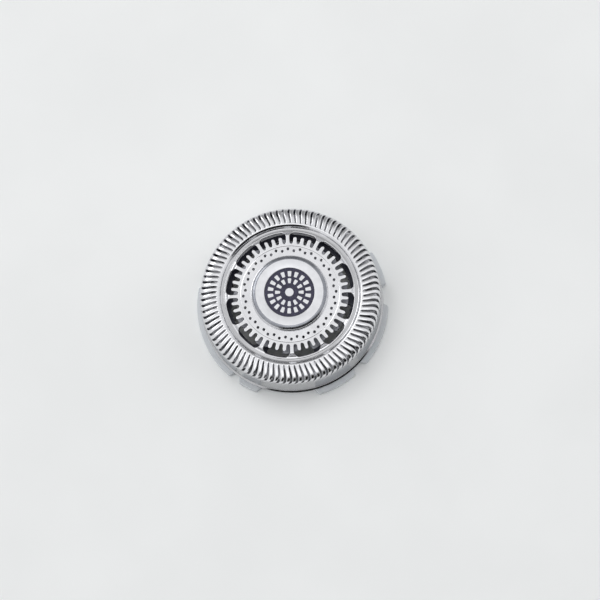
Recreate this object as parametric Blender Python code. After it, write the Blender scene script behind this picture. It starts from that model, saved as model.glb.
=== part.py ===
"""Rotary shaver head, guard side up.

Metres, +Z up. The origin is on the head's axis, on the surface that it rests on.
Angles are degrees clockwise from +Y, seen from above the guard.
"""

import math

import bmesh
import bpy
from mathutils import Vector, geometry

# Fits and clearances
SEAT_GAP = 0.00003
PRESS_GAP = 0.00003
RUNNING_GAP = 0.00006
SPIGOT_HOLE_GAP = 0.0001
AXIAL_PLAY = 0.00018
RETAINING_GAP = 0.0005
SKIRT_CLEARANCE = 0.0004
DIVE_CLEARANCE = 0.00015

# Centre cap and inlay
CAP_BASE_RADIUS = 0.00693
CAP_EDGE_WIDTH = 0.00073
CAP_HEIGHT = 0.0011
CAP_FOOT_SHARE = 0.15
CAP_EDGE_STEPS = 3
CAP_SPIGOT_RADIUS = 0.0025
CAP_SPIGOT_REACH = 0.001
INLAY_RADIUS = 0.00445
INLAY_RECESS = 0.0003
INLAY_THICKNESS = 0.00024

# Guard: one drawn stainless sheet, measured outward from the centre cap
SHEET = 0.0003
BORE_SIDES = 24
HOLES_FROM_CAP = 0.00101
HOLE_RING_STEP = 0.00035
HOLE_RADIUS = 0.00024
HOLE_SIDES = 6
HOLES_PER_RING = 24
TEETH_FROM_CAP = 0.00232
TOOTH_LENGTH = 0.00125
DIVE_LEAD = 0.00005
DIVE_RUN = 0.00105
DIVE_BENDS = ((0.5, 0.1), (0.78, 0.62))
GROOVE_WIDTH = 0.00082
GROOVE_DEPTH = 0.00067
GROOVE_WALL_RUN = 0.0001
TRACK_EDGE_FILLET = 0.00038
TRACK_WIDTH = 0.00383
TRACK_FALL = 0.00027
SHOULDER_WIDTH = 0.00165
SHOULDER_HEIGHT = 0.0019
SHOULDER_STEPS = (1.0, 0.48, 0.0)
GUARD_HEIGHT = 0.0073
RIM_WIDTH = 0.0003
RIM_FILLET_SHARE = 0.8
CIRCLE_SIDES = 48

# Outer track: hooked slots that run over the shoulder
SLOT_COUNT = 90
SLOT_WIDTH = 0.0004
SLOT_START_INSET = 0.0003
SLOT_END_DEPTH = 0.00184
SLOT_HOOK = 0.00042
SLOT_HOOK_SKEW = 1.4
SLOT_RETURN = 0.00025
SLOT_RETURN_POWER = 4
SLOT_END_SHARE = 0.7

# Inner track: toothed windows between spokes
SPOKE_COUNT = 12
SPOKE_PHASE = -2.6
TEETH_PER_WINDOW = 3
TOOTH_WIDTH = 0.00062
TOOTH_ROUND = 0.00022
GAP_ROUND = 0.0002
ROUND_RUN_SHARE = 0.8
WINDOW_CORNER_RADIUS = 0.00095
WINDOW_CORNER_ANGLE = 60
WINDOW_ARC_STEPS = 4

# Bearing insert under the guard
INSERT_FLANGE_RADIUS = 0.0052
INSERT_FLANGE_THICKNESS = 0.0008
INSERT_BOSS_RADIUS = 0.0034
INSERT_HEIGHT = 0.0023

# Holder ring: spigot, flange under the guard's rim, lugs and a parted lip
FLANGE_THICKNESS = 0.0012
FLANGE_SETBACK = 0.00025
FLANGE_EDGE_ROUND = 0.0002
LUG_OVERHANG = 0.0009
LUG_STEP = 0.0001
LUG_END_SLOPE = 3.0
LUGS = ((57, 77), (92, 129), (139, 163), (202, 213), (221, 280), (319, 343))
HOLDER_WALL = 0.0012
HOLDER_CHAMFER = 0.00025
LIP_WIDTH = 0.0006
LIP_THICKNESS = 0.0009
LIP_END_SLOPE = 1.0
LIP_GAP_SHARE = 0.15
LIP_GAPS = ((16, 32), (136, 152), (256, 272))
HOLDER_STEP = 8

# Cutter: two rings of raked blades
BLADE_SHEET = 0.0003
BLADE_HEIGHT = 0.0026
BLADE_RAKE = 38.0
BLADE_ROOT = 0.00034
BAND_SETBACK = 0.0002
BAND_STEPS = 3
OUTER_BLADES = 15
OUTER_BAND_WIDTH = 0.0011
OUTER_LEG = 0.0017
SLOT_LEAD = 0.00005
INNER_BLADES = 12
INNER_BAND_WIDTH = 0.0008
INNER_LEG = 0.0013
HOLE_LEAD = 0.00026

# Cutter carrier: hub with a pin and a drive socket, arms and an outer ring
CARRIER_WEB = 0.001
CARRIER_EDGE = 0.0001
CARRIER_RIM_WIDTH = 0.0006
CARRIER_RIM_DROP = 0.0004
SEAT_RIB_WIDTH = 0.0004
SEAT_RIB_HEIGHT = 0.00025
HUB_RADIUS = 0.0034
HUB_DROP = 0.0006
PIN_RADIUS = 0.001
SOCKET_LENGTH = 0.0034
SOCKET_WIDTH = 0.002
SOCKET_ROOF = 0.00038
SOCKET_MOUTH = 0.00025
ARM_COUNT = 6
ARM_WIDTH = 0.0022
ARM_RIB_WIDTH = 0.0006
ARM_RIB_DROP = 0.0003
VENT_EDGE = 0.0004
VENT_CORNER = 0.0006
VENT_ARC_STEPS = 5
TURNED_SIDES = 48
HIDDEN_SIDES = 30

# Radii that follow from the sizes above
BORE_RADIUS = CAP_SPIGOT_RADIUS + SPIGOT_HOLE_GAP
INNER_HOLE_RING = CAP_BASE_RADIUS + HOLES_FROM_CAP
HOLE_RINGS = ((INNER_HOLE_RING, 0.5), (INNER_HOLE_RING + HOLE_RING_STEP, 0.0))
GAP_BOTTOM_RADIUS = CAP_BASE_RADIUS + TEETH_FROM_CAP
TOOTH_TIP_RADIUS = GAP_BOTTOM_RADIUS + TOOTH_LENGTH
PLATE_RADIUS = TOOTH_TIP_RADIUS - DIVE_LEAD
GROOVE_INNER_RADIUS = PLATE_RADIUS + DIVE_RUN
GROOVE_OUTER_RADIUS = GROOVE_INNER_RADIUS + GROOVE_WIDTH
SLOT_START_RADIUS = GROOVE_OUTER_RADIUS + GROOVE_WALL_RUN + TRACK_EDGE_FILLET + SLOT_START_INSET
SKIRT_RADIUS = GROOVE_OUTER_RADIUS + TRACK_WIDTH
RIM_RADIUS = SKIRT_RADIUS + RIM_WIDTH
HOLDER_OUTER_RADIUS = SKIRT_RADIUS - SHEET - RUNNING_GAP
HOLDER_INNER_RADIUS = HOLDER_OUTER_RADIUS - HOLDER_WALL
INNER_BLADE_START = INNER_HOLE_RING - HOLE_RADIUS - HOLE_LEAD
INNER_BLADE_END = PLATE_RADIUS - DIVE_CLEARANCE
INNER_BAND_RADIUS = INNER_BLADE_START - BAND_SETBACK - INNER_BAND_WIDTH
OUTER_BLADE_START = SLOT_START_RADIUS - SLOT_LEAD
OUTER_BLADE_END = SKIRT_RADIUS - SHEET - SKIRT_CLEARANCE
OUTER_BAND_RADIUS = OUTER_BLADE_START - BAND_SETBACK - OUTER_BAND_WIDTH
CARRIER_RADIUS = OUTER_BAND_RADIUS + OUTER_BAND_WIDTH + CARRIER_EDGE
VENT_INNER_RADIUS = INNER_BAND_RADIUS + INNER_BAND_WIDTH + VENT_EDGE
VENT_OUTER_RADIUS = OUTER_BAND_RADIUS - PRESS_GAP - SEAT_RIB_WIDTH - VENT_EDGE

# Heights that follow, above the surface that the head rests on
PLATE_TOP = FLANGE_THICKNESS + SEAT_GAP + SHEET + GUARD_HEIGHT
PLATE_UNDERSIDE = PLATE_TOP - SHEET
SPIGOT_FOOT = PLATE_UNDERSIDE - CAP_SPIGOT_REACH
INSERT_TOP = PLATE_UNDERSIDE - SEAT_GAP
INSERT_BOTTOM = INSERT_TOP - INSERT_HEIGHT
BLADE_SEAT = PLATE_UNDERSIDE - RUNNING_GAP - BLADE_HEIGHT - BLADE_SHEET
HOLDER_TOP = BLADE_SEAT - RETAINING_GAP
WEB_TOP = BLADE_SEAT - SEAT_GAP
WEB_UNDERSIDE = WEB_TOP - CARRIER_WEB
HUB_BOTTOM = WEB_UNDERSIDE - HUB_DROP
HUB_TOP = INSERT_BOTTOM - AXIAL_PLAY


def clear_scene():
    for item in list(bpy.data.objects):
        bpy.data.objects.remove(item, do_unlink=True)


def make_material(name, colour, roughness, metallic=0.0):
    material = bpy.data.materials.new(name)
    material.use_nodes = True
    shader = material.node_tree.nodes["Principled BSDF"]
    shader.inputs["Base Color"].default_value = (*colour, 1.0)
    shader.inputs["Roughness"].default_value = roughness
    shader.inputs["Metallic"].default_value = metallic
    material.diffuse_color = (*colour, 1.0)
    return material


def polished_steel():
    return make_material("polished_steel", (0.78, 0.79, 0.81), 0.12, 1.0)


def satin_metal():
    return make_material("satin_metal", (0.70, 0.71, 0.73), 0.35, 1.0)


def ground_steel():
    return make_material("ground_steel", (0.55, 0.56, 0.58), 0.3, 1.0)


def dark_enamel():
    return make_material("dark_enamel", (0.03, 0.03, 0.06), 0.3)


def clear_plastic():
    return make_material("clear_plastic", (0.62, 0.68, 0.70), 0.2)


def bearing_plastic():
    return make_material("bearing_plastic", (0.80, 0.80, 0.78), 0.45)


def carrier_plastic():
    return make_material("carrier_plastic", (0.16, 0.17, 0.19), 0.5)


def add_object(name, shape, material, sharp_angle=35.0):
    """Turn a bmesh into a named object, smooth but for its edges."""
    bmesh.ops.recalc_face_normals(shape, faces=shape.faces)
    mesh = bpy.data.meshes.new(name)
    shape.to_mesh(mesh)
    shape.free()
    mesh.materials.append(material)
    mesh.shade_smooth()
    mesh.set_sharp_from_angle(angle=math.radians(sharp_angle))
    item = bpy.data.objects.new(name, mesh)
    bpy.context.collection.objects.link(item)
    return item


def add_boolean(target, name, shape, operation):
    """Cut a shape out of an object or join it on, and keep the shape as a hidden guide."""
    guide = add_object(name, shape, target.data.materials[0])
    guide.hide_render = True
    guide.display_type = "WIRE"
    modifier = target.modifiers.new(name, "BOOLEAN")
    modifier.operation = operation
    modifier.solver = "EXACT"
    modifier.object = guide


def polar(radius, bearing, height=0.0):
    """Point at a bearing in degrees clockwise from +Y."""
    angle = math.radians(bearing)
    return Vector((radius * math.sin(angle), radius * math.cos(angle), height))


def degrees_along(length, radius):
    """Degrees that a length spans on a circle."""
    return math.degrees(length / radius)


def turned_solid(section, sides=TURNED_SIDES):
    """Turn a closed section of (radius, height) points about the axis."""
    shape = bmesh.new()
    rings = []
    for radius, height in section:
        if radius == 0:
            rings.append([shape.verts.new((0, 0, height))])
        else:
            ring = [shape.verts.new(polar(radius, 360 * k / sides, height)) for k in range(sides)]
            rings.append(ring)
    for index, lower in enumerate(rings):
        upper = rings[(index + 1) % len(rings)]
        if len(lower) == 1 and len(upper) == 1:
            continue
        for k in range(sides):
            after = (k + 1) % sides
            if len(lower) == 1:
                shape.faces.new((lower[0], upper[k], upper[after]))
            elif len(upper) == 1:
                shape.faces.new((lower[k], lower[after], upper[0]))
            else:
                shape.faces.new((lower[k], lower[after], upper[after], upper[k]))
    return shape


def stacked_outlines(levels):
    """Closed solid through plan outlines of equal count, each at its own height."""
    shape = bmesh.new()
    rings = []
    for outline, height in levels:
        rings.append([shape.verts.new((point.x, point.y, height)) for point in outline])
    shape.faces.new(rings[0])
    shape.faces.new(rings[-1])
    for lower, upper in zip(rings, rings[1:]):
        for index in range(len(lower)):
            after = (index + 1) % len(lower)
            shape.faces.new((lower[index], lower[after], upper[after], upper[index]))
    return shape


def guard_section():
    """Upper side of the guard from its bore to its rim, as (radius, height) below the plate."""
    section = [(BORE_RADIUS, 0.0), (PLATE_RADIUS, 0.0)]
    for run_share, depth_share in DIVE_BENDS:
        section.append((PLATE_RADIUS + run_share * DIVE_RUN, -depth_share * GROOVE_DEPTH))
    section.append((GROOVE_INNER_RADIUS, -GROOVE_DEPTH))
    section.append((GROOVE_OUTER_RADIUS, -GROOVE_DEPTH))
    wall_top = GROOVE_OUTER_RADIUS + GROOVE_WALL_RUN
    for angle in (180, 135, 90):
        turn = math.radians(angle)
        radius = wall_top + TRACK_EDGE_FILLET * (1 + math.cos(turn))
        section.append((radius, TRACK_EDGE_FILLET * (math.sin(turn) - 1)))
    shoulder_start = math.asin(1 - TRACK_FALL / SHOULDER_HEIGHT)
    for share in SHOULDER_STEPS:
        turn = shoulder_start * share
        radius = SKIRT_RADIUS - SHOULDER_WIDTH * (1 - math.cos(turn))
        section.append((radius, SHOULDER_HEIGHT * (math.sin(turn) - 1)))
    fillet = RIM_WIDTH * RIM_FILLET_SHARE
    for angle in (180, 225, 270):
        turn = math.radians(angle)
        radius = SKIRT_RADIUS + fillet * (1 + math.cos(turn))
        section.append((radius, fillet * (1 + math.sin(turn)) - GUARD_HEIGHT))
    section.append((RIM_RADIUS, -GUARD_HEIGHT))
    return section


def offset_section(section, distance):
    """Section moved square to itself, to the right of its direction, with mitred corners."""
    moved = []
    for index, point in enumerate(section):
        before = Vector(section[max(index - 1, 0)])
        here = Vector(point)
        after = Vector(section[min(index + 1, len(section) - 1)])
        first = (here - before) if index > 0 else (after - here)
        second = (after - here) if index < len(section) - 1 else first
        first.normalize()
        second.normalize()
        normal = Vector((first.y + second.y, -first.x - second.x)).normalized()
        reach = distance / normal.dot(Vector((first.y, -first.x)))
        moved.append(here + normal * reach)
    return moved


class DrawnSheet:
    """A flat round blank and the section that it is drawn to.

    A point of the blank lies at its length along the section from the axis,
    so holes are laid out on the flat blank and bent with it.
    """

    def __init__(self, section, thickness):
        self.upper = [Vector(point) for point in section]
        self.lower = offset_section(section, thickness)
        self.lengths = [self.upper[0].x]
        for before, after in zip(self.upper, self.upper[1:]):
            self.lengths.append(self.lengths[-1] + (after - before).length)

    def blank_at_radius(self, radius):
        """Blank radius of the first place where the sheet has this radius."""
        for index in range(len(self.upper) - 1):
            start = self.upper[index].x
            end = self.upper[index + 1].x
            if end > start and start <= radius <= end:
                share = (radius - start) / (end - start)
                return self.blend_length(index, share)
        return self.lengths[-1]

    def blank_at_height(self, height):
        """Blank radius of the outermost place where the sheet has this height."""
        for index in range(len(self.upper) - 2, -1, -1):
            start = self.upper[index].y
            end = self.upper[index + 1].y
            if end < start and end <= height <= start:
                share = (height - start) / (end - start)
                return self.blend_length(index, share)
        return self.lengths[-1]

    def blend_length(self, index, share):
        return self.lengths[index] + (self.lengths[index + 1] - self.lengths[index]) * share

    def drawn(self, blank_radius):
        """Section points above and below a blank radius."""
        last = len(self.lengths) - 2
        index = 0
        while index < last and blank_radius > self.lengths[index + 1]:
            index += 1
        span = self.lengths[index + 1] - self.lengths[index]
        share = (blank_radius - self.lengths[index]) / span
        above = self.upper[index].lerp(self.upper[index + 1], share)
        below = self.lower[index].lerp(self.lower[index + 1], share)
        return above, below

    def underside_at_radius(self, radius):
        """Height of the underside at a radius on the outer track."""
        for before, after in zip(self.lower, self.lower[1:]):
            if before.x <= radius <= after.x:
                share = (radius - before.x) / (after.x - before.x)
                return before.y + (after.y - before.y) * share
        return self.lower[-1].y


class Blank:
    """Flat pattern: an outer edge, holes and bend lines, as points on the blank."""

    def __init__(self):
        self.points = []
        self.faces = []
        self.bends = []

    def add_points(self, points):
        first = len(self.points)
        self.points.extend(Vector((point.x, point.y)) for point in points)
        return list(range(first, len(self.points)))

    def add_face(self, points):
        """The first face is the blank's outer edge, and the others are holes."""
        indices = self.add_points(points)
        corners = [self.points[index] for index in indices]
        following = corners[1:] + corners[:1]
        area = sum(here.x * after.y - after.x * here.y for here, after in zip(corners, following))
        self.faces.append(indices if area > 0 else indices[::-1])
        return indices

    def add_circle(self, radius, sides, phase=0.0):
        ring = self.add_points(polar(radius, phase + 360 * k / sides) for k in range(sides))
        for k in range(sides):
            self.bends.append((ring[k], ring[(k + 1) % sides]))

    def triangles(self):
        points, _, faces, _, _, sources = geometry.delaunay_2d_cdt(
            self.points, self.bends, self.faces, 1, 1e-8
        )
        kept = [face for face, source in zip(faces, sources) if list(source) == [0]]
        return points, kept


def draw_blank(blank, sheet, top):
    """Bend the flat pattern to the section, and give it the sheet's thickness."""
    points, triangles = blank.triangles()
    used = sorted({index for triangle in triangles for index in triangle})
    shape = bmesh.new()
    above = {}
    below = {}
    for index in used:
        point = points[index]
        bearing = math.degrees(math.atan2(point.x, point.y))
        upper, lower = sheet.drawn(point.length)
        above[index] = shape.verts.new(polar(upper.x, bearing, top + upper.y))
        below[index] = shape.verts.new(polar(lower.x, bearing, top + lower.y))
    directed = set()
    for a, b, c in triangles:
        shape.faces.new((above[a], above[b], above[c]))
        shape.faces.new((below[c], below[b], below[a]))
        directed.update(((a, b), (b, c), (c, a)))
    for a, b in directed:
        if (b, a) not in directed:
            shape.faces.new((above[b], above[a], below[a], below[b]))
    return shape


def add_slots(blank, sheet):
    """Hooked slots with pointed round ends, joined across each slat at every bend."""
    start = sheet.blank_at_radius(SLOT_START_RADIUS)
    end = sheet.blank_at_height(-SLOT_END_DEPTH)
    back = SLOT_WIDTH * SLOT_END_SHARE
    bends = [length for length in sheet.lengths if start + back < length < end - back]
    stations = [start + back] + bends + [end - back]
    pitch = 360 / SLOT_COUNT

    def slot_bearing(slot, length):
        share = (length - start) / (end - start)
        hook = SLOT_HOOK * math.sin(math.pi * share**SLOT_HOOK_SKEW)
        back_turn = SLOT_RETURN * share**SLOT_RETURN_POWER
        radius = sheet.drawn(length)[0].x
        return pitch * slot - degrees_along(hook - back_turn, radius)

    def side_point(slot, length, side):
        radius = sheet.drawn(length)[0].x
        half = degrees_along(SLOT_WIDTH / 2, radius)
        return polar(length, slot_bearing(slot, length) + side * half)

    sides = []
    for slot in range(SLOT_COUNT):
        outline = [polar(start, slot_bearing(slot, start))]
        outline += [side_point(slot, length, 1) for length in stations]
        outline.append(polar(end, slot_bearing(slot, end)))
        outline += [side_point(slot, length, -1) for length in reversed(stations)]
        indices = blank.add_face(outline)
        count = len(stations)
        sides.append((indices[1:count + 1], indices[:count + 1:-1]))
    for slot in range(SLOT_COUNT):
        leading = sides[slot][0]
        trailing = sides[(slot + 1) % SLOT_COUNT][1]
        for station in range(1, len(stations) - 1):
            blank.bends.append((leading[station], trailing[station]))


def tooth_outline(bearing):
    """One tooth of a window's comb, from its foot round its tip to its other foot."""
    foot = GAP_BOTTOM_RADIUS + GAP_ROUND
    neck = TOOTH_TIP_RADIUS - TOOTH_ROUND
    half = TOOTH_WIDTH / 2
    tip_half = half - ROUND_RUN_SHARE * TOOTH_ROUND
    shape = ((-half, foot), (-half, neck), (-tip_half, TOOTH_TIP_RADIUS))
    shape += ((tip_half, TOOTH_TIP_RADIUS), (half, neck), (half, foot))
    return [(radius, bearing + degrees_along(side, radius)) for side, radius in shape]


def spoke_half_width(radius):
    """Half the width of a spoke, which flares into the groove with round corners."""
    rise = radius - (GROOVE_INNER_RADIUS - WINDOW_CORNER_RADIUS)
    if rise <= 0:
        return TOOTH_WIDTH / 2
    run = math.sqrt(max(WINDOW_CORNER_RADIUS**2 - rise**2, 0.0))
    return TOOTH_WIDTH / 2 + WINDOW_CORNER_RADIUS - run


def add_windows(blank, sheet):
    """Windows with a comb on the inner side, and bend lines across each spoke."""
    window = 360 / SPOKE_COUNT
    pitch = window / (TEETH_PER_WINDOW + 1)
    foot = GAP_BOTTOM_RADIUS + GAP_ROUND
    gap_half = (math.radians(pitch) * foot - TOOTH_WIDTH) / 2
    bottom_half = gap_half - ROUND_RUN_SHARE * GAP_ROUND
    dive = [point.x for point in sheet.upper if PLATE_RADIUS <= point.x < GROOVE_INNER_RADIUS]
    corner_rise = WINDOW_CORNER_RADIUS * math.sin(math.radians(WINDOW_CORNER_ANGLE))
    corner = GROOVE_INNER_RADIUS - WINDOW_CORNER_RADIUS + corner_rise
    flank = [foot] + dive + [corner, GROOVE_INNER_RADIUS]

    def on_blank(radius, bearing):
        return polar(sheet.blank_at_radius(radius), bearing)

    flanks = []
    for spoke in range(SPOKE_COUNT):
        left = SPOKE_PHASE + spoke * window
        right = left + window
        outline = []
        for gap in range(TEETH_PER_WINDOW + 1):
            middle = left + (gap + 0.5) * pitch
            for side in (-bottom_half, bottom_half):
                bearing = middle + degrees_along(side, GAP_BOTTOM_RADIUS)
                outline.append((GAP_BOTTOM_RADIUS, bearing))
            if gap < TEETH_PER_WINDOW:
                outline += tooth_outline(left + (gap + 1) * pitch)
        far = len(outline)
        for radius in flank:
            outline.append((radius, right - degrees_along(spoke_half_width(radius), radius)))
        arc_end = outline[-1][1]
        arc_start = left + right - arc_end
        for step in range(1, WINDOW_ARC_STEPS):
            bearing = arc_end + (arc_start - arc_end) * step / WINDOW_ARC_STEPS
            outline.append((GROOVE_INNER_RADIUS, bearing))
        near = len(outline)
        for radius in reversed(flank):
            outline.append((radius, left + degrees_along(spoke_half_width(radius), radius)))
        indices = blank.add_face(on_blank(radius, bearing) for radius, bearing in outline)
        far_side = indices[far:far + len(flank)]
        near_side = indices[near:near + len(flank)][::-1]
        flanks.append((far_side, near_side))
    for spoke in range(SPOKE_COUNT):
        far_side = flanks[spoke][0]
        near_side = flanks[(spoke + 1) % SPOKE_COUNT][1]
        for station in range(1, 1 + len(dive)):
            blank.bends.append((far_side[station], near_side[station]))
        bearing = SPOKE_PHASE + (spoke + 1) * window
        middle = blank.add_points([on_blank(GROOVE_INNER_RADIUS, bearing)])[0]
        blank.bends.append((far_side[-1], middle))
        blank.bends.append((middle, near_side[-1]))


def add_holes(blank):
    pitch = 360 / HOLES_PER_RING
    for radius, stagger in HOLE_RINGS:
        for hole in range(HOLES_PER_RING):
            centre = polar(radius, SPOKE_PHASE + (hole + stagger) * pitch)
            blank.add_face(
                centre + polar(HOLE_RADIUS, 360 * k / HOLE_SIDES) for k in range(HOLE_SIDES)
            )


def make_guard(sheet):
    """Stainless cap with slots, groove, toothed windows, holes, skirt and rim."""
    blank = Blank()
    edge = sheet.lengths[-1]
    half_pitch = 180 / CIRCLE_SIDES
    blank.add_face(polar(edge, half_pitch + 360 * k / CIRCLE_SIDES) for k in range(CIRCLE_SIDES))
    blank.add_face(polar(sheet.lengths[0], 360 * k / BORE_SIDES) for k in range(BORE_SIDES))
    add_slots(blank, sheet)
    add_windows(blank, sheet)
    add_holes(blank)
    groove = sheet.blank_at_radius(GROOVE_INNER_RADIUS)
    slots_start = sheet.blank_at_radius(SLOT_START_RADIUS)
    slots_end = sheet.blank_at_height(-SLOT_END_DEPTH)
    for length in sheet.lengths:
        plain = groove < length < slots_start or slots_end < length < edge
        if plain:
            blank.add_circle(length, CIRCLE_SIDES, half_pitch)
    return add_object("guard", draw_blank(blank, sheet, PLATE_TOP), polished_steel(), 30.0)


def make_centre_cap():
    """Raised boss with a recess for the inlay and a spigot through the guard's bore."""
    base = PLATE_TOP + SEAT_GAP
    top = PLATE_TOP + CAP_HEIGHT
    section = [(0, SPIGOT_FOOT), (CAP_SPIGOT_RADIUS, SPIGOT_FOOT), (CAP_SPIGOT_RADIUS, base)]
    section.append((CAP_BASE_RADIUS, base))
    for step in range(1, CAP_EDGE_STEPS + 1):
        turn = math.radians(90 * step / CAP_EDGE_STEPS)
        radius = CAP_BASE_RADIUS - CAP_EDGE_WIDTH * (1 - math.cos(turn))
        rise_share = CAP_FOOT_SHARE + (1 - CAP_FOOT_SHARE) * math.sin(turn)
        section.append((radius, base + (top - base) * rise_share))
    recess = INLAY_RADIUS + PRESS_GAP
    section += [(recess, top), (recess, top - INLAY_RECESS), (0, top - INLAY_RECESS)]
    return add_object("centre_cap", turned_solid(section), satin_metal())


def make_cap_inlay():
    """Dark disc in the recess of the centre cap."""
    bottom = PLATE_TOP + CAP_HEIGHT - INLAY_RECESS + SEAT_GAP
    top = bottom + INLAY_THICKNESS
    section = [(0, bottom), (INLAY_RADIUS, bottom), (INLAY_RADIUS, top), (0, top)]
    return add_object("cap_inlay", turned_solid(section), dark_enamel())


def make_bearing_insert():
    """Bush under the guard: it grips the cap's spigot and centres the cutter's pin."""
    grip = CAP_SPIGOT_RADIUS + PRESS_GAP
    grip_floor = SPIGOT_FOOT - SEAT_GAP
    pin_hole = PIN_RADIUS + RUNNING_GAP
    flange_bottom = INSERT_TOP - INSERT_FLANGE_THICKNESS
    section = [(grip, INSERT_TOP), (grip, grip_floor), (pin_hole, grip_floor)]
    section += [(pin_hole, INSERT_BOTTOM), (INSERT_BOSS_RADIUS, INSERT_BOTTOM)]
    section += [(INSERT_BOSS_RADIUS, flange_bottom), (INSERT_FLANGE_RADIUS, flange_bottom)]
    section.append((INSERT_FLANGE_RADIUS, INSERT_TOP))
    return add_object("bearing_insert", turned_solid(section, HIDDEN_SIDES), bearing_plastic())


def share_within(bearing, spans, slope):
    """1 inside any of the spans of bearings, falling to 0 over a slope outside them."""
    depth = max(min(bearing - start, end - bearing) for start, end in spans)
    return min(max(1 + depth / slope, 0.0), 1.0)


def holder_stations():
    """Bearings where the holder ring's section changes, and regular ones between them."""
    changes = set()
    for spans, slope in ((LUGS, LUG_END_SLOPE), (LIP_GAPS, LIP_END_SLOPE)):
        for start, end in spans:
            changes |= {start - slope, start, end, end + slope}
    regular = set()
    for bearing in range(0, 360, HOLDER_STEP):
        if min(abs(bearing - change) for change in changes) > HOLDER_STEP / 3:
            regular.add(bearing)
    return sorted(changes | regular)


def holder_section(bearing):
    """Section of the holder ring at a bearing, from the lip's foot up round the spigot."""
    lug = share_within(bearing, LUGS, LUG_END_SLOPE)
    gap = share_within(bearing, LIP_GAPS, LIP_END_SLOPE)
    lip = HOLDER_INNER_RADIUS - LIP_WIDTH * (1 - (1 - LIP_GAP_SHARE) * gap)
    flange = RIM_RADIUS - FLANGE_SETBACK
    plain_edge = (
        (flange, 0),
        (flange, FLANGE_THICKNESS - FLANGE_EDGE_ROUND),
        (flange - FLANGE_EDGE_ROUND, FLANGE_THICKNESS),
    )
    lug_top = FLANGE_THICKNESS - LUG_STEP
    lug_edge = (
        (RIM_RADIUS + LUG_OVERHANG, 0),
        (RIM_RADIUS + LUG_OVERHANG, lug_top),
        (RIM_RADIUS + LUG_STEP, lug_top),
    )
    section = [(lip, 0)]
    section += [Vector(plain).lerp(Vector(out), lug) for plain, out in zip(plain_edge, lug_edge)]
    section.append((section[-1].x, FLANGE_THICKNESS))
    section.append((HOLDER_OUTER_RADIUS, FLANGE_THICKNESS))
    section.append((HOLDER_OUTER_RADIUS, HOLDER_TOP - HOLDER_CHAMFER))
    section.append((HOLDER_OUTER_RADIUS - HOLDER_CHAMFER, HOLDER_TOP))
    section += [(HOLDER_INNER_RADIUS, HOLDER_TOP), (HOLDER_INNER_RADIUS, LIP_THICKNESS)]
    section.append((lip, LIP_THICKNESS))
    return section


def make_holder_ring():
    """Plastic ring that snaps into the guard's skirt, with lugs and a lip in three parts."""
    shape = bmesh.new()
    rings = []
    for bearing in holder_stations():
        section = holder_section(bearing)
        rings.append([shape.verts.new(polar(radius, bearing, height)) for radius, height in section])
    for index, ring in enumerate(rings):
        following = rings[(index + 1) % len(rings)]
        for k in range(len(ring)):
            after = (k + 1) % len(ring)
            shape.faces.new((ring[k], ring[after], following[after], following[k]))
    bmesh.ops.remove_doubles(shape, verts=shape.verts, dist=SEAT_GAP / 10)
    return add_object("holder_ring", shape, clear_plastic())


def make_blade_ring(name, band, legs, count, leg_width, top_at_radius):
    """Flat ring with legs, and a raked blade bent up from one side of each leg.

    band is the ring's two radii and legs the radii along a blade.
    """
    radii = [band[0], band[1]] + legs
    pitch = 360 / count
    lean = math.tan(math.radians(BLADE_RAKE))
    shape = bmesh.new()
    corners = {}
    stations = 2 + BAND_STEPS
    columns = stations * count

    def corner(column, row, level):
        key = (column % columns, row, level)
        if key not in corners:
            blade, station = divmod(column % columns, stations)
            radius = radii[row]
            leg_end = degrees_along(leg_width, radius)
            turn = (0.0, degrees_along(BLADE_ROOT, radius), leg_end)[min(station, 2)]
            turn += (pitch - leg_end) * max(station - 2, 0) / BAND_STEPS
            height = BLADE_SEAT
            if level == "sheet":
                height += BLADE_SHEET
            if level == "tip":
                height = top_at_radius(radius)
                rise = height - BLADE_SEAT - BLADE_SHEET
                turn -= degrees_along(rise * lean, radius)
            corners[key] = shape.verts.new(polar(radius, blade * pitch + turn, height))
        return corners[key]

    last = len(radii) - 2
    cells = {(column, 0) for column in range(columns)}
    for blade in range(0, columns, stations):
        cells |= {(blade + side, row) for side in (0, 1) for row in range(1, last + 1)}
    blades = {(blade, row) for blade in range(0, columns, stations) for row in range(2, last + 1)}

    def wall(first, second, low, high):
        shape.faces.new(
            (corner(*first, low), corner(*second, low), corner(*second, high), corner(*first, high))
        )

    def walls_round(kept, low, high):
        for column, row in kept:
            edges = {
                ((column - 1) % columns, row): ((column, row), (column, row + 1)),
                ((column + 1) % columns, row): ((column + 1, row + 1), (column + 1, row)),
                (column, row - 1): ((column + 1, row), (column, row)),
                (column, row + 1): ((column, row + 1), (column + 1, row + 1)),
            }
            for neighbour, (first, second) in edges.items():
                if neighbour not in kept:
                    wall(first, second, low, high)

    def plate(kept, level):
        for column, row in kept:
            ends = ((column, row), (column + 1, row), (column + 1, row + 1), (column, row + 1))
            shape.faces.new([corner(*end, level) for end in ends])

    plate(cells, "under")
    plate(cells - blades, "sheet")
    plate(blades, "tip")
    walls_round(cells, "under", "sheet")
    walls_round(blades, "sheet", "tip")
    return add_object(name, shape, ground_steel(), 25.0)


def make_outer_blade_ring(sheet):
    """Blades that follow the underside of the slotted track."""
    bends = [point.x for point in sheet.lower if OUTER_BLADE_START < point.x < OUTER_BLADE_END]
    legs = [OUTER_BLADE_START, *sorted(bends), OUTER_BLADE_END]
    band = (OUTER_BAND_RADIUS, OUTER_BAND_RADIUS + OUTER_BAND_WIDTH)

    def top_at_radius(radius):
        return PLATE_TOP + sheet.underside_at_radius(radius) - RUNNING_GAP

    return make_blade_ring("outer_blade_ring", band, legs, OUTER_BLADES, OUTER_LEG, top_at_radius)


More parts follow.
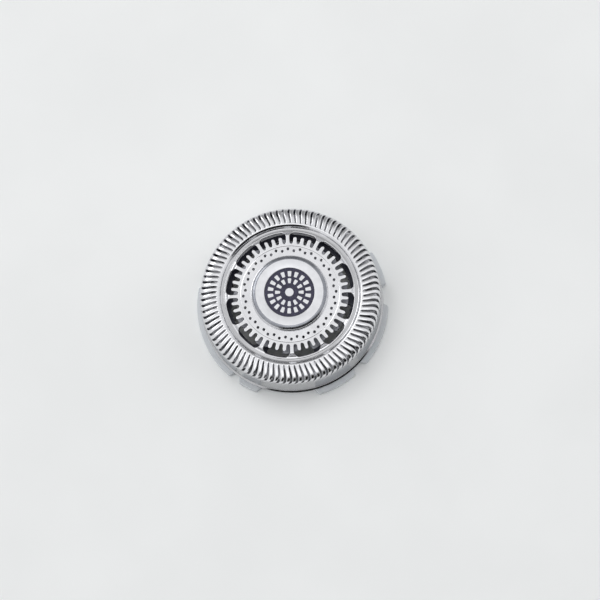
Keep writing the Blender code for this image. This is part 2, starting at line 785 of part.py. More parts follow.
def make_inner_blade_ring():
    """Blades that pass under the round holes and the toothed windows."""
    legs = [INNER_BLADE_START, INNER_BLADE_END]
    band = (INNER_BAND_RADIUS, INNER_BAND_RADIUS + INNER_BAND_WIDTH)

    def top_at_radius(radius):
        return PLATE_UNDERSIDE - RUNNING_GAP

    return make_blade_ring("inner_blade_ring", band, legs, INNER_BLADES, INNER_LEG, top_at_radius)


def vent_outline(bearing):
    """Opening between two arms of the carrier, with round corners."""

    def corner(edge, inward, turns):
        points = []
        for turn in turns:
            radius = edge + inward * VENT_CORNER * (1 - math.cos(math.radians(turn)))
            side = ARM_WIDTH / 2 + VENT_CORNER * (1 - math.sin(math.radians(turn)))
            points.append((radius, 180 / ARM_COUNT - degrees_along(side, radius)))
        return points

    right = corner(VENT_OUTER_RADIUS, -1, (0, 45, 90)) + corner(VENT_INNER_RADIUS, 1, (90, 45, 0))
    left = [(radius, -turn) for radius, turn in reversed(right)]
    steps = [2 * k / VENT_ARC_STEPS - 1 for k in range(1, VENT_ARC_STEPS)]
    outer_arc = [(VENT_OUTER_RADIUS, right[0][1] * step) for step in steps]
    inner_arc = [(VENT_INNER_RADIUS, -right[-1][1] * step) for step in steps]
    return [polar(radius, bearing + turn) for radius, turn in outer_arc + right + inner_arc + left]


def arm_rib_outline():
    """Star of ribs, one along the underside of each arm, from the hub into the rim."""
    tip = CARRIER_RADIUS - CARRIER_RIM_WIDTH / 2
    half = ARM_RIB_WIDTH / 2
    half_pitch = 180 / ARM_COUNT
    valley = half / math.sin(math.radians(half_pitch))
    outline = []
    for arm in range(ARM_COUNT):
        bearing = (2 * arm + 1) * half_pitch
        outline.append(polar(tip, bearing - degrees_along(half, tip)))
        outline.append(polar(tip, bearing + degrees_along(half, tip)))
        outline.append(polar(valley, bearing + half_pitch))
    return outline


def socket_outline(growth=0.0):
    """Oblong socket for the flattened tip of the drive spindle."""
    half_width = SOCKET_WIDTH / 2 + growth
    centre = (SOCKET_LENGTH - SOCKET_WIDTH) / 2
    outline = []
    for side in (1, -1):
        for step in range(7):
            turn = math.radians(30 * step - 90 * side)
            x = side * centre + half_width * math.cos(turn)
            outline.append(Vector((x, half_width * math.sin(turn), 0)))
    return outline


def make_cutter_carrier():
    """Hub, arms and ring of the cutter, with low ribs that centre both blade rings."""
    pin_top = SPIGOT_FOOT - AXIAL_PLAY
    rim_inner = CARRIER_RADIUS - CARRIER_RIM_WIDTH
    rim_bottom = WEB_UNDERSIDE - CARRIER_RIM_DROP
    section = [(0, HUB_BOTTOM), (HUB_RADIUS, HUB_BOTTOM), (HUB_RADIUS, WEB_UNDERSIDE)]
    section += [(rim_inner, WEB_UNDERSIDE), (rim_inner, rim_bottom)]
    section += [(CARRIER_RADIUS, rim_bottom), (CARRIER_RADIUS, WEB_TOP)]
    for band in (OUTER_BAND_RADIUS, INNER_BAND_RADIUS):
        rib_outer = band - PRESS_GAP
        rib_inner = rib_outer - SEAT_RIB_WIDTH
        section += [(rib_outer, WEB_TOP), (rib_outer, WEB_TOP + SEAT_RIB_HEIGHT)]
        section += [(rib_inner, WEB_TOP + SEAT_RIB_HEIGHT), (rib_inner, WEB_TOP)]
    section += [(HUB_RADIUS, WEB_TOP), (HUB_RADIUS, HUB_TOP), (PIN_RADIUS, HUB_TOP)]
    section += [(PIN_RADIUS, pin_top), (0, pin_top)]
    carrier = add_object("cutter_carrier", turned_solid(section, HIDDEN_SIDES), carrier_plastic())

    ribs = arm_rib_outline()
    rib_levels = ((ribs, WEB_UNDERSIDE - ARM_RIB_DROP), (ribs, WEB_UNDERSIDE + CARRIER_WEB / 2))
    add_boolean(carrier, "arm_ribs_guide", stacked_outlines(rib_levels), "UNION")
    for vent in range(ARM_COUNT):
        outline = vent_outline(360 * vent / ARM_COUNT)
        vent_levels = ((outline, HUB_BOTTOM), (outline, WEB_TOP + CARRIER_WEB))
        add_boolean(carrier, f"vent_guide_{vent}", stacked_outlines(vent_levels), "DIFFERENCE")
    socket_levels = (
        (socket_outline(2 * SOCKET_MOUTH), HUB_BOTTOM - SOCKET_MOUTH),
        (socket_outline(), HUB_BOTTOM + SOCKET_MOUTH),
        (socket_outline(), HUB_TOP - SOCKET_ROOF),
    )
    add_boolean(carrier, "socket_guide", stacked_outlines(socket_levels), "DIFFERENCE")
    return carrier


def build():
    clear_scene()
    sheet = DrawnSheet(guard_section(), SHEET)
    make_guard(sheet)
    make_centre_cap()
    make_cap_inlay()
    make_bearing_insert()
    make_holder_ring()
    make_outer_blade_ring(sheet)
    make_inner_blade_ring()
    make_cutter_carrier()


build()
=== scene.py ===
"""Looks of the rotary shaver head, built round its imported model.

Metres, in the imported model's frame: +Z up, with the origin on the head's axis where it rests.
Bearings are degrees clockwise from +Y, seen from above the guard.
"""

import math

import bpy
from mathutils import Matrix, Vector, geometry


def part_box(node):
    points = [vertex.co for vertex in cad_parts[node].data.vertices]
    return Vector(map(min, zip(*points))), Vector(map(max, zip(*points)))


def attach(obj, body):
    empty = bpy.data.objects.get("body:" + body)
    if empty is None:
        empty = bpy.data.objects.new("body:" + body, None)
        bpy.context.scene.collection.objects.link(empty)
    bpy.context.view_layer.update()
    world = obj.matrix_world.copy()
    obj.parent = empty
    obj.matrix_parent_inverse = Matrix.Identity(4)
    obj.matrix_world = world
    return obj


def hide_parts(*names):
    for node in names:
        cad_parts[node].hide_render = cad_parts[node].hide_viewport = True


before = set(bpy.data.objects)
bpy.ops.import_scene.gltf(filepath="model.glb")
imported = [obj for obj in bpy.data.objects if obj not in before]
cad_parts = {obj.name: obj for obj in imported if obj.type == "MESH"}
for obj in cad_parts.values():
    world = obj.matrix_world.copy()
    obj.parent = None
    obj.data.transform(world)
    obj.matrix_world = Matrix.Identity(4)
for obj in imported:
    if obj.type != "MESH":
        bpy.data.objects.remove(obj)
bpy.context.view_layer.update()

# Camera: degrees from -Y towards +X, degrees above the table, and roll about the line of sight
VIEW_AZIMUTH = 13.8
VIEW_ELEVATION = 75.8
VIEW_ROLL = 13.8
VIEW_DISTANCE = 0.42
SENSOR_MM = 36.0
CLIP_NEAR = 0.0042
CLIP_FAR = 8.4

# Photograph: side in pixels, metres to a pixel at the plate, and the pixel where the axis is
PHOTO_SIDE = 600
PHOTO_SCALE = 0.000178
AXIS_PIXEL = (289.72, 293.64)

# Softboxes: radiance and place of each, and the side of both
KEY = 2.45
KEY_PLACE = (-0.103, 0.221, 0.603)
SHEEN = 2.0
SHEEN_PLACE = (-0.4, 0.28, 0.42)
SOFTBOX_SIDE = 0.35

# Floor: half the side of the paper under the head
FLOOR_HALF_SIDE = 3.0

# Room round the head: radiance low down and overhead, and the upward parts of a direction
# between which one gives way to the other
WORLD_COLOUR = (0.985, 0.99, 1.0, 1.0)
WORLD_LOW = 0.87
WORLD_HIGH = 0.97
WORLD_RISE = (0.3, 0.8)

# Dark sides of the room: bearing, angles from it between which the dark fades out,
# radiance, and upward parts of a direction between which it gives way to the light overhead
DARK_SIDES = ((158, (42, 48), 0.01, (0.7, 0.95)), (0, (18, 42), 0.36, (0.72, 1.0)))

# Bright patch of the room, overhead and a little towards the camera
LAMP = 1.5
LAMP_DIRECTION = (0.0, -0.14, 0.99)
LAMP_ANGLES = (10.0, 20.0)

# Edges: angle from which an edge is shaded sharp or bevelled, and bevels of the inner pieces
SHARP_ANGLE = 50.0
BEVEL_SEGMENTS = 3
BLADE_BEVEL = 0.00003
MOULDED_BEVEL = 0.00006

# Guard's section: radii from the axis, and depths below its plate
SHEET = 0.0003
PLATE_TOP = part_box("guard")[1].z
BORE_RADIUS = 0.0026
PLATE_RADIUS = 0.01045
GROOVE_INNER_RADIUS = 0.0115
GROOVE_OUTER_RADIUS = 0.01247
GROOVE_DEPTH = 0.00067
TRACK_START_RADIUS = 0.01292
TRACK_ROUNDNESS = 3.0
TRACK_STEPS = 26
SHOULDER_HEIGHT = 0.0019
SKIRT_RADIUS = 0.01615
GUARD_HEIGHT = 0.0073

# Fine step line on the plate
STEP_RADIUS = 0.00884
STEP_WIDTH = 0.00006
STEP_DEPTH = 0.00004

# Dive of the spokes to a narrow land, and the land's edge down to the groove's floor
DIVE_START = 0.38
DIVE_STEPS = 12
LAND_RADIUS = 0.01178
LAND_DEPTH = 0.0006
LAND_EDGE_RUN = 0.00006
LAND_EDGE_BLEND = 0.00003
LAND_EDGE_DROP = 0.00001

# Outer wall of the groove: fillet, nearly upright wall, and lean up to the track's edge
FILLET = 0.00034
FILLET_END = -8
FILLET_STEPS = 7
WALL_TOP = 0.00038
WALL_LEAN = 0.00001
LEAN_START = (0.00007, 0.00023)
LEAN_END = (0.00019, 0.00008)
LEAN_BEND = 0.00004
LEAN_FOOT_STEPS = 4
LEAN_TOP_STEPS = 5

# Rim that turns out at the skirt's foot
RIM_RADIUS = 0.01645
RIM_FLARE_TOP = 0.00706
RIM_FLARE_RUN = 0.00019
RIM_BEND = 0.00005
RIM_BEND_STEPS = 3

# Slots of the outer track: widths, hook to one side, and return at the outer end
SLOT_COUNT = 90
SLOT_WIDTH = 0.0004
SLOT_NECK_WIDTH = 0.0002
SLOT_NECK_SHARE = 0.65
SLOT_START_RADIUS = 0.0131
SLOT_END_DEPTH = 0.00184
SLOT_HOOK = 0.00042
SLOT_HOOK_SKEW = 1.4
SLOT_RETURN = 0.00025
SLOT_RETURN_POWER = 4
SLOT_TIP = 0.0003
SLOT_TIP_ROWS = (-1.0, -0.4, 0.0, 0.12, 0.4, 1.0)
ROW_SPACING = SLOT_TIP / 4
SLAT_EDGE_ROUND = 0.00013
SLAT_EDGE_LINES = (0.0, 0.35, 1.0)

# Windows of the inner track, with teeth on their inner side and spokes between them
SPOKE_COUNT = 12
SPOKE_PHASE = -2.6
TEETH_PER_WINDOW = 3
TOOTH_WIDTH = 0.00062
TOOTH_TIP_RADIUS = 0.0105
TOOTH_FLANK_SHARES = (0.35, 0.7)
GAP_BOTTOM_RADIUS = 0.00925
ROUND_END_STEPS = 6
SPOKE_FLANK_SHARES = (0.25, 0.5, 0.75)
WINDOW_CORNER_RADIUS = 0.00095
WINDOW_CORNER_STEPS = 7
WINDOW_ARC_STEPS = 10

# Rounded edges of windows and holes: distance from the edge and drop, as shares of the round
EDGE_ROUND = 0.00006
EDGE_LINES = ((0.3, 0.29), (1.0, 0.0), (1.5, 0.0))
EDGE_CLEARANCE = 2.2 * EDGE_ROUND
MITRE_LIMIT = 0.5

# Holes of the inner track: radius of each ring and its stagger
HOLES_PER_RING = 24
HOLE_RADIUS = 0.00024
HOLE_RINGS = ((0.00794, 0.5), (0.00829, 0.0))
HOLE_SIDES = 16
BORE_SIDES = 48

# Triangles of the inner track: points to a ring, and the triangulation's settings
GRID_BEARINGS = 360
ONLY_INSIDE = 1
CLOSEST_POINTS = 1e-8

# Rings of the guard's steel, on the groove's floor and the skirt, darkened with painted shade
SHADE_RINGS = ((0.01158, 0.01228), (0.01609, 0.0175))
SHADE_SHARE = 0.68
SHADE_FADE = 0.00006

# Centre cap: an elliptical edge over a short upright foot, and a spigot
CAP_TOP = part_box("centre_cap")[1].z
CAP_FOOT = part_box("centre_cap")[0].z
CAP_TOP_RADIUS = 0.00606
CAP_BASE_RADIUS = 0.00693
# Radii between which the cap's edge is darkened with painted shade
CAP_SHADED_EDGE_RADII = (0.00605, 0.00662)
CAP_WALL_SHARE = 0.15
CAP_EDGE_STEPS = 16
CAP_LIP_STEPS = 4
CAP_BASE_ROUND = 0.00004
CAP_BASE_STEPS = 3
CAP_SPIGOT_RADIUS = 0.0025
CAP_SIDES = 192
RECESS_CHAMFER = 0.00006
SEAT_GAP = 0.00003

# Inlay's design: bars of bare metal in two rings, and a dot, on dark enamel
INLAY_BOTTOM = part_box("cap_inlay")[0].z
INLAY_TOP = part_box("cap_inlay")[1].z
INLAY_RADIUS = 0.00445
INLAY_SIDES = 180
BAR_RINGS = ((18, 0.0029, 0.00388, 10.5), (12, 0.00165, 0.00255, 15.0))
BAR_CORNER = 0.00012
BAR_CORNER_STEPS = 4
DOT_RADIUS = 0.00075
DOT_SIDES = 40
ENAMEL_DEPTH = 0.00002

# Holder ring: flange under the rim, lugs, spigot and a lip in three parts
FLANGE_RADIUS = 0.0162
FLANGE_THICKNESS = 0.0012
FLANGE_EDGE_ROUND = 0.0002
LUG_RADIUS = 0.01733
LUG_TOP = 0.0011
LUG_STEP_RADIUS = 0.01655
LUG_END_SLOPE = 3.0
LUGS = ((57, 77), (92, 129), (139, 163), (202, 213), (221, 280), (319, 343))
HOLDER_OUTER_RADIUS = 0.01579
HOLDER_INNER_RADIUS = 0.01459
HOLDER_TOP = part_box("holder_ring")[1].z
HOLDER_CHAMFER = 0.00025
LIP_RADIUS = 0.01399
LIP_GAP_RADIUS = 0.0145
LIP_THICKNESS = 0.0009
LIP_END_SLOPE = 1.0
LIP_GAPS = ((16, 32), (136, 152), (256, 272))
HOLDER_EDGE_ROUND = 0.00008
HOLDER_EDGE_STEPS = 3
HOLDER_STATIONS = 720
ROUNDS_TO_A_SIDE = 2.2

# Blades: the inner ones are darkened with painted shade
OUTER_BLADE_TONES = ((0.84, 0.85, 0.89), (0.92, 0.93, 0.96))
INNER_BLADE_SHADED_TONES = ((0.5, 0.51, 0.56), (0.58, 0.59, 0.64))

# Noise of the materials: range that is spread out, and scales beside that of the patches
NOISE_RANGE = (0.3, 0.7)
GLOSS_SCALE = 2.3
SPECKLE_SCALE = 9
SPECKLE_DETAIL = 4.0
PATCH_DETAIL = 3.0
GRAIN_DETAIL = 2.0
GRAIN_ON_WALLS = 0.3


def polar(radius, bearing, height=0.0):
    """Point at a bearing in degrees clockwise from +Y."""
    angle = math.radians(bearing)
    return Vector((radius * math.sin(angle), radius * math.cos(angle), height))


def degrees_along(length, radius):
    """Degrees that a length spans on a circle."""
    return math.degrees(length / radius)


def smooth(share):
    """Share that leaves 0 and reaches 1 gently."""
    return share * share * (3 - 2 * share)


def distinct(indices):
    """Indices in their order, without repeats."""
    return list(dict.fromkeys(indices))


def arc(centre, radii, first, last, steps):
    """Section points on an arc, by angle from the outward direction."""
    points = []
    for step in range(steps + 1):
        turn = math.radians(first + (last - first) * step / steps)
        points.append((centre[0] + radii[0] * math.cos(turn), centre[1] + radii[1] * math.sin(turn)))
    return points


def bend(start, corner, end, steps):
    """Section points on a smooth bend that leaves one line for another at their corner."""
    start, corner, end = (Vector(point) for point in (start, corner, end))
    points = []
    for step in range(steps + 1):
        share = step / steps
        points.append(tuple(start.lerp(corner, share).lerp(corner.lerp(end, share), share)))
    return points


def plate_section():
    """Guard's plate from the bore, with its step line, and the dive down to the groove."""
    section = [(BORE_RADIUS, 0.0)]
    section += [(STEP_RADIUS - 2 * STEP_WIDTH, 0.0), (STEP_RADIUS - STEP_WIDTH, 0.0)]
    section.append((STEP_RADIUS, -STEP_DEPTH))
    section += [(STEP_RADIUS + STEP_WIDTH, 0.0), (STEP_RADIUS + 2 * STEP_WIDTH, 0.0)]
    for step in range(DIVE_STEPS):
        share = step / DIVE_STEPS
        dive = max((share - DIVE_START) / (1 - DIVE_START), 0.0)
        radius = PLATE_RADIUS + share * (GROOVE_INNER_RADIUS - PLATE_RADIUS)
        section.append((radius, -LAND_DEPTH * smooth(dive)))
    return section


def groove_section():
    """Land, floor and outer wall of the groove, up to the start of the track."""
    floor = -GROOVE_DEPTH
    wall = GROOVE_OUTER_RADIUS
    edge_end = LAND_RADIUS + LAND_EDGE_RUN
    section = [(GROOVE_INNER_RADIUS, -LAND_DEPTH), (LAND_RADIUS - LAND_EDGE_BLEND, -LAND_DEPTH)]
    section += [(LAND_RADIUS, -LAND_DEPTH - LAND_EDGE_DROP), (edge_end, floor + LAND_EDGE_DROP)]
    section.append((edge_end + LAND_EDGE_BLEND, floor))
    section += arc((wall - FILLET, floor + FILLET), (FILLET, FILLET), -90, FILLET_END, FILLET_STEPS)
    lean_corner = (wall + 2 * WALL_LEAN, -LEAN_START[1] - LEAN_BEND)
    lean_foot = (wall + LEAN_START[0], -LEAN_START[1])
    section += bend((wall + WALL_LEAN, -WALL_TOP), lean_corner, lean_foot, LEAN_FOOT_STEPS)
    lean_top = (TRACK_START_RADIUS - LEAN_END[0], -LEAN_END[1])
    edge = (TRACK_START_RADIUS - LEAN_END[0] / 2, 0.0)
    section += bend(lean_top, edge, (TRACK_START_RADIUS, 0.0), LEAN_TOP_STEPS)
    return section


def track_section():
    """Outer track and shoulder: a squarish round from the groove's edge to the skirt."""
    run = SKIRT_RADIUS - TRACK_START_RADIUS
    points = []
    for step in range(1, TRACK_STEPS + 1):
        turn = math.radians(90 * step / TRACK_STEPS)
        across = math.sin(turn) ** (2 / TRACK_ROUNDNESS)
        down = 1 - max(math.cos(turn), 0.0) ** (2 / TRACK_ROUNDNESS)
        points.append((TRACK_START_RADIUS + run * across, -SHOULDER_HEIGHT * down))
    return points


def rim_section():
    """Skirt and the rim that turns out at its foot."""
    foot = -GUARD_HEIGHT
    flare_end = SKIRT_RADIUS + RIM_FLARE_RUN
    slope = (GUARD_HEIGHT - RIM_FLARE_TOP) / (flare_end + RIM_BEND - SKIRT_RADIUS)
    points = [(SKIRT_RADIUS, foot / 2)]
    points += bend((SKIRT_RADIUS, -RIM_FLARE_TOP + RIM_BEND), (SKIRT_RADIUS, -RIM_FLARE_TOP),
                   (SKIRT_RADIUS + RIM_BEND, -RIM_FLARE_TOP - slope * RIM_BEND), RIM_BEND_STEPS)
    points += bend((flare_end, foot + slope * RIM_BEND), (flare_end + RIM_BEND, foot),
                   (RIM_RADIUS - EDGE_ROUND, foot), RIM_BEND_STEPS)
    points.append((RIM_RADIUS, foot - EDGE_ROUND))
    return points


class DrawnSheet:
    """Section of a drawn sheet, found by its length from the axis along the upper side."""

    def __init__(self, section, thickness):
        self.upper = [Vector(point) for point in section]
        self.lengths = [self.upper[0].x]
        for before, after in zip(self.upper, self.upper[1:]):
            self.lengths.append(self.lengths[-1] + (after - before).length)
        self.normals = []
        for index in range(len(self.upper)):
            before = self.upper[max(index - 1, 0)]
            after = self.upper[min(index + 1, len(self.upper) - 1)]
            along = (after - before).normalized()
            self.normals.append(Vector((-along.y, along.x)))
        self.thickness = thickness

    def span(self, length):
        """Index of the span that a length falls in, and how far along that span it lies."""
        last = len(self.lengths) - 2
        index = 0
        while index < last and length > self.lengths[index + 1]:
            index += 1
        share = (length - self.lengths[index]) / (self.lengths[index + 1] - self.lengths[index])
        return index, share

    def at(self, length, drop=0.0):
        """Upper and lower point at a length, with the upper one lowered by a drop."""
        index, share = self.span(length)
        point = self.upper[index].lerp(self.upper[index + 1], share)
        normal = self.normals[index].lerp(self.normals[index + 1], share).normalized()
        return point - normal * drop, point - normal * self.thickness

    def radius(self, length):
        """Radius of the upper side at a length."""
        index, share = self.span(length)
        return self.upper[index].lerp(self.upper[index + 1], share).x

    def between(self, index, share):
        """Length at a share of one span."""
        return self.lengths[index] + (self.lengths[index + 1] - self.lengths[index]) * share

    def at_radius(self, radius):
        """Length of the first place that has this radius."""
        for index in range(len(self.upper) - 1):
            start = self.upper[index].x
            end = self.upper[index + 1].x
            if end > start and start <= radius <= end:
                return self.between(index, (radius - start) / (end - start))
        return self.lengths[-1]

    def at_height(self, height):
        """Length of the outermost place that has this height."""
        for index in range(len(self.upper) - 2, -1, -1):
            start = self.upper[index].y
            end = self.upper[index + 1].y
            if end < start and end <= height <= start:
                return self.between(index, (height - start) / (end - start))
        return self.lengths[-1]


class SheetMesh:
    """Places on the sheet, the faces between them, and the closed mesh that they make."""

    def __init__(self, sheet, top):
        self.sheet = sheet
        self.top = top
        self.places = []
        self.faces = []

    def place(self, length, bearing, drop=0.0):
        """Adds a place and returns its index."""
        self.places.append((length, bearing, drop))
        return len(self.places) - 1

    def flat(self, index):
        """Place on the flat blank."""
        length, bearing, _ = self.places[index]
        return polar(length, bearing).xy

    def all_faces(self):
        """Upper faces first, then the lower ones and the cut walls between both."""
        count = len(self.places)
        faces = [tuple(face) for face in self.faces]
        directed = set()
        for face in self.faces:
            directed.update(zip(face, face[1:] + face[:1]))
        for face in self.faces:
            faces.append(tuple(index + count for index in reversed(face)))
        for a, b in directed:
            if (b, a) not in directed:
                faces.append((b, a, a + count, b + count))
        return faces

    def make(self, name):
        """Mesh object of the sheet with its thickness."""
        upper = []
        lower = []
        for length, bearing, drop in self.places:
            above, below = self.sheet.at(length, drop)
            upper.append(polar(above.x, bearing, self.top + above.y))
            lower.append(polar(below.x, bearing, self.top + below.y))
        return make_mesh_object(name, upper + lower, self.all_faces())


def make_mesh_object(name, points, faces):
    """Object with its faces shaded smooth, except over sharp edges."""
    mesh = bpy.data.meshes.new(name)
    mesh.from_pydata([tuple(point) for point in points], [], faces)
    mesh.validate()
    mesh.shade_smooth()
    mesh.set_sharp_from_angle(angle=math.radians(SHARP_ANGLE))
    item = bpy.data.objects.new(name, mesh)
    bpy.context.collection.objects.link(item)
    return item


def edge_drop(distance, round_radius):
    """How far a rounded edge lies below the sheet's surface at a distance from it."""
    if distance >= round_radius:
        return 0.0
    inward = round_radius - distance
    return round_radius - math.sqrt(max(round_radius**2 - inward**2, 0.0))


class SlottedTrack:
    """Slats and slots, with the groove's wall and the skirt, in rows of like bearings."""

    def __init__(self, mesh):
        self.mesh = mesh
        self.sheet = mesh.sheet
        self.start = self.sheet.at_radius(SLOT_START_RADIUS)
        self.end = self.sheet.at_height(-SLOT_END_DEPTH)
        self.pitch = 360 / SLOT_COUNT

    def share(self, length):
        """How far along the slots a length lies: 0 where they start and 1 where they end."""
        return (length - self.start) / (self.end - self.start)

    def row_lengths(self, inner_length):
        """Lengths of the rows: the section's own, thinned near the slots' tips, and the tips'."""
        tips = [self.start + SLOT_TIP * share for share in SLOT_TIP_ROWS]
        tips += [self.end - SLOT_TIP * share for share in SLOT_TIP_ROWS]
        rows = [length for length in self.sheet.lengths if length > inner_length]
        rows = [row for row in rows if min(abs(row - tip) for tip in tips) > ROW_SPACING]
        return sorted([inner_length] + rows + tips)

    def half_width(self, length):
        """Half of a slot's width, with its narrow neck and both round tips."""
        reach = min(length - self.start, self.end - length)
        if reach <= 0:
            return 0.0
        widened = min(self.share(length) / SLOT_NECK_SHARE, 1.0)
        half = (SLOT_NECK_WIDTH + (SLOT_WIDTH - SLOT_NECK_WIDTH) * widened) / 2
        if reach >= SLOT_TIP:
            return half
        return half * math.sqrt(1 - (1 - reach / SLOT_TIP) ** 2)

    def shift(self, length):
        """Degrees by which the hook carries a slot to one side."""
        share = min(max(self.share(length), 0.0), 1.0)
        hook = SLOT_HOOK * math.sin(math.pi * share**SLOT_HOOK_SKEW)
        back_turn = SLOT_RETURN * share**SLOT_RETURN_POWER
        return degrees_along(hook - back_turn, self.sheet.radius(length))

    def drop(self, length, across):
        """Drop of a slat's rounded edge, at a distance from the slot's side."""
        beyond = max(self.start - length, length - self.end, 0.0)
        return edge_drop(math.hypot(beyond, across), SLAT_EDGE_ROUND)

    def add_row(self, length):
        """Places across every slat at one length. Slats that no slot parts share theirs."""
        radius = self.sheet.radius(length)
        half = self.half_width(length)
        width = math.radians(self.pitch) * radius - 2 * half
        near_edge = [share * SLAT_EDGE_ROUND for share in SLAT_EDGE_LINES]
        offsets = near_edge + [width / 2] + [width - offset for offset in reversed(near_edge)]
        row = []
        for slot in range(SLOT_COUNT):
            left = self.pitch * slot - self.shift(length) + degrees_along(half, radius)
            for offset in offsets[:-1]:
                across = min(offset, width - offset)
                bearing = left + degrees_along(offset, radius)
                row.append(self.mesh.place(length, bearing, self.drop(length, across)))
            if half > 0:
                bearing = left + degrees_along(width, radius)
                row.append(self.mesh.place(length, bearing, self.drop(length, 0.0)))
            else:
                row.append(None)
        return [row[(index + 1) % len(row)] if here is None else here for index, here in enumerate(row)]

    def add_faces(self, inner_length):
        """Adds the faces, and returns the ring of places along their inner side."""
        grid = [self.add_row(length) for length in self.row_lengths(inner_length)]
        columns = len(grid[0]) // SLOT_COUNT
        for inner, outer in zip(grid, grid[1:]):
            for slot in range(SLOT_COUNT):
                for a in range(slot * columns, (slot + 1) * columns - 1):
                    face = distinct((inner[a], inner[a + 1], outer[a + 1], outer[a]))
                    self.mesh.faces.append(face[::-1])
        return distinct(grid[0])


def gap_outline(middle, half):
    """Round bottom of a gap between teeth."""
    points = []
    for step in range(ROUND_END_STEPS + 1):
        turn = math.radians(180 * step / ROUND_END_STEPS)
        radius = GAP_BOTTOM_RADIUS + half * (1 - math.sin(turn))
        points.append((radius, middle - degrees_along(half * math.cos(turn), radius)))
    return points


def tooth_outline(middle, foot):
    """One tooth: up its left flank, round its tip and down its right flank."""
    half = TOOTH_WIDTH / 2
    neck = TOOTH_TIP_RADIUS - half
    flank = [foot + share * (neck - foot) for share in TOOTH_FLANK_SHARES]
    points = [(radius, middle - degrees_along(half, radius)) for radius in flank]
    for step in range(ROUND_END_STEPS + 1):
        turn = math.radians(180 * step / ROUND_END_STEPS)
        radius = neck + half * math.sin(turn)
        points.append((radius, middle - degrees_along(half * math.cos(turn), radius)))
    points += [(radius, middle + degrees_along(half, radius)) for radius in reversed(flank)]
    return points


def spoke_outline(foot):
    """Side of a spoke and the round corner at its outer end, as (radius, degrees from its middle)."""
    half = TOOTH_WIDTH / 2
    corner_start = GROOVE_INNER_RADIUS - WINDOW_CORNER_RADIUS
    side = []
    for share in SPOKE_FLANK_SHARES:
        radius = foot + share * (corner_start - foot)
        side.append((radius, degrees_along(half, radius)))
    for step in range(WINDOW_CORNER_STEPS + 1):
        turn = math.radians(90 * step / WINDOW_CORNER_STEPS)
        radius = corner_start + WINDOW_CORNER_RADIUS * math.sin(turn)
        flared = half + WINDOW_CORNER_RADIUS * (1 - math.cos(turn))
        side.append((radius, degrees_along(flared, radius)))
    return side


def window_outline(window):
    """One window as (radius, bearing): round gaps and teeth, spokes, and round outer corners."""
    span = 360 / SPOKE_COUNT
    pitch = span / (TEETH_PER_WINDOW + 1)
    left = SPOKE_PHASE + window * span
    right = left + span
    gap_half = (math.radians(pitch) * GAP_BOTTOM_RADIUS - TOOTH_WIDTH) / 2
    foot = GAP_BOTTOM_RADIUS + gap_half
    outline = []
    for gap in range(TEETH_PER_WINDOW + 1):
        outline += gap_outline(left + (gap + 0.5) * pitch, gap_half)
        if gap < TEETH_PER_WINDOW:
            outline += tooth_outline(left + (gap + 1) * pitch, foot)
    side = spoke_outline(foot)
    outline += [(radius, right - turn) for radius, turn in side]
    arc_start = right - side[-1][1]
    arc_run = left + side[-1][1] - arc_start
    for step in range(1, WINDOW_ARC_STEPS):
        outline.append((GROOVE_INNER_RADIUS, arc_start + arc_run * step / WINDOW_ARC_STEPS))
    outline += [(radius, left + turn) for radius, turn in reversed(side)]
    return outline


def winding(outline):
    """Twice the area of a closed flat outline, positive where it runs anticlockwise."""
    following = outline[1:] + outline[:1]
    return sum(here.x * after.y - after.x * here.y for here, after in zip(outline, following))


def offset_outline(outline, distance):
    """Closed flat outline moved out of the hole that it bounds, with mitred corners."""
    way = 1 if winding(outline) > 0 else -1
    moved = []
    for index, here in enumerate(outline):
        first = (here - outline[index - 1]).normalized()
        second = (outline[(index + 1) % len(outline)] - here).normalized()
        normal = Vector((first.y + second.y, -first.x - second.x)).normalized() * way
        reach = distance / max(normal.dot(Vector((first.y, -first.x)) * way), MITRE_LIMIT)
        moved.append(here + normal * reach)
    return moved


def inside(point, outline):
    """Whether a flat point lies inside a closed outline."""
    result = False
    before = outline[-1]
    for here in outline:
        if (here.y > point.y) != (before.y > point.y):
            x = (before.x - here.x) * (point.y - here.y) / (before.y - here.y) + here.x
            if point.x < x:
                result = not result
        before = here
    return result


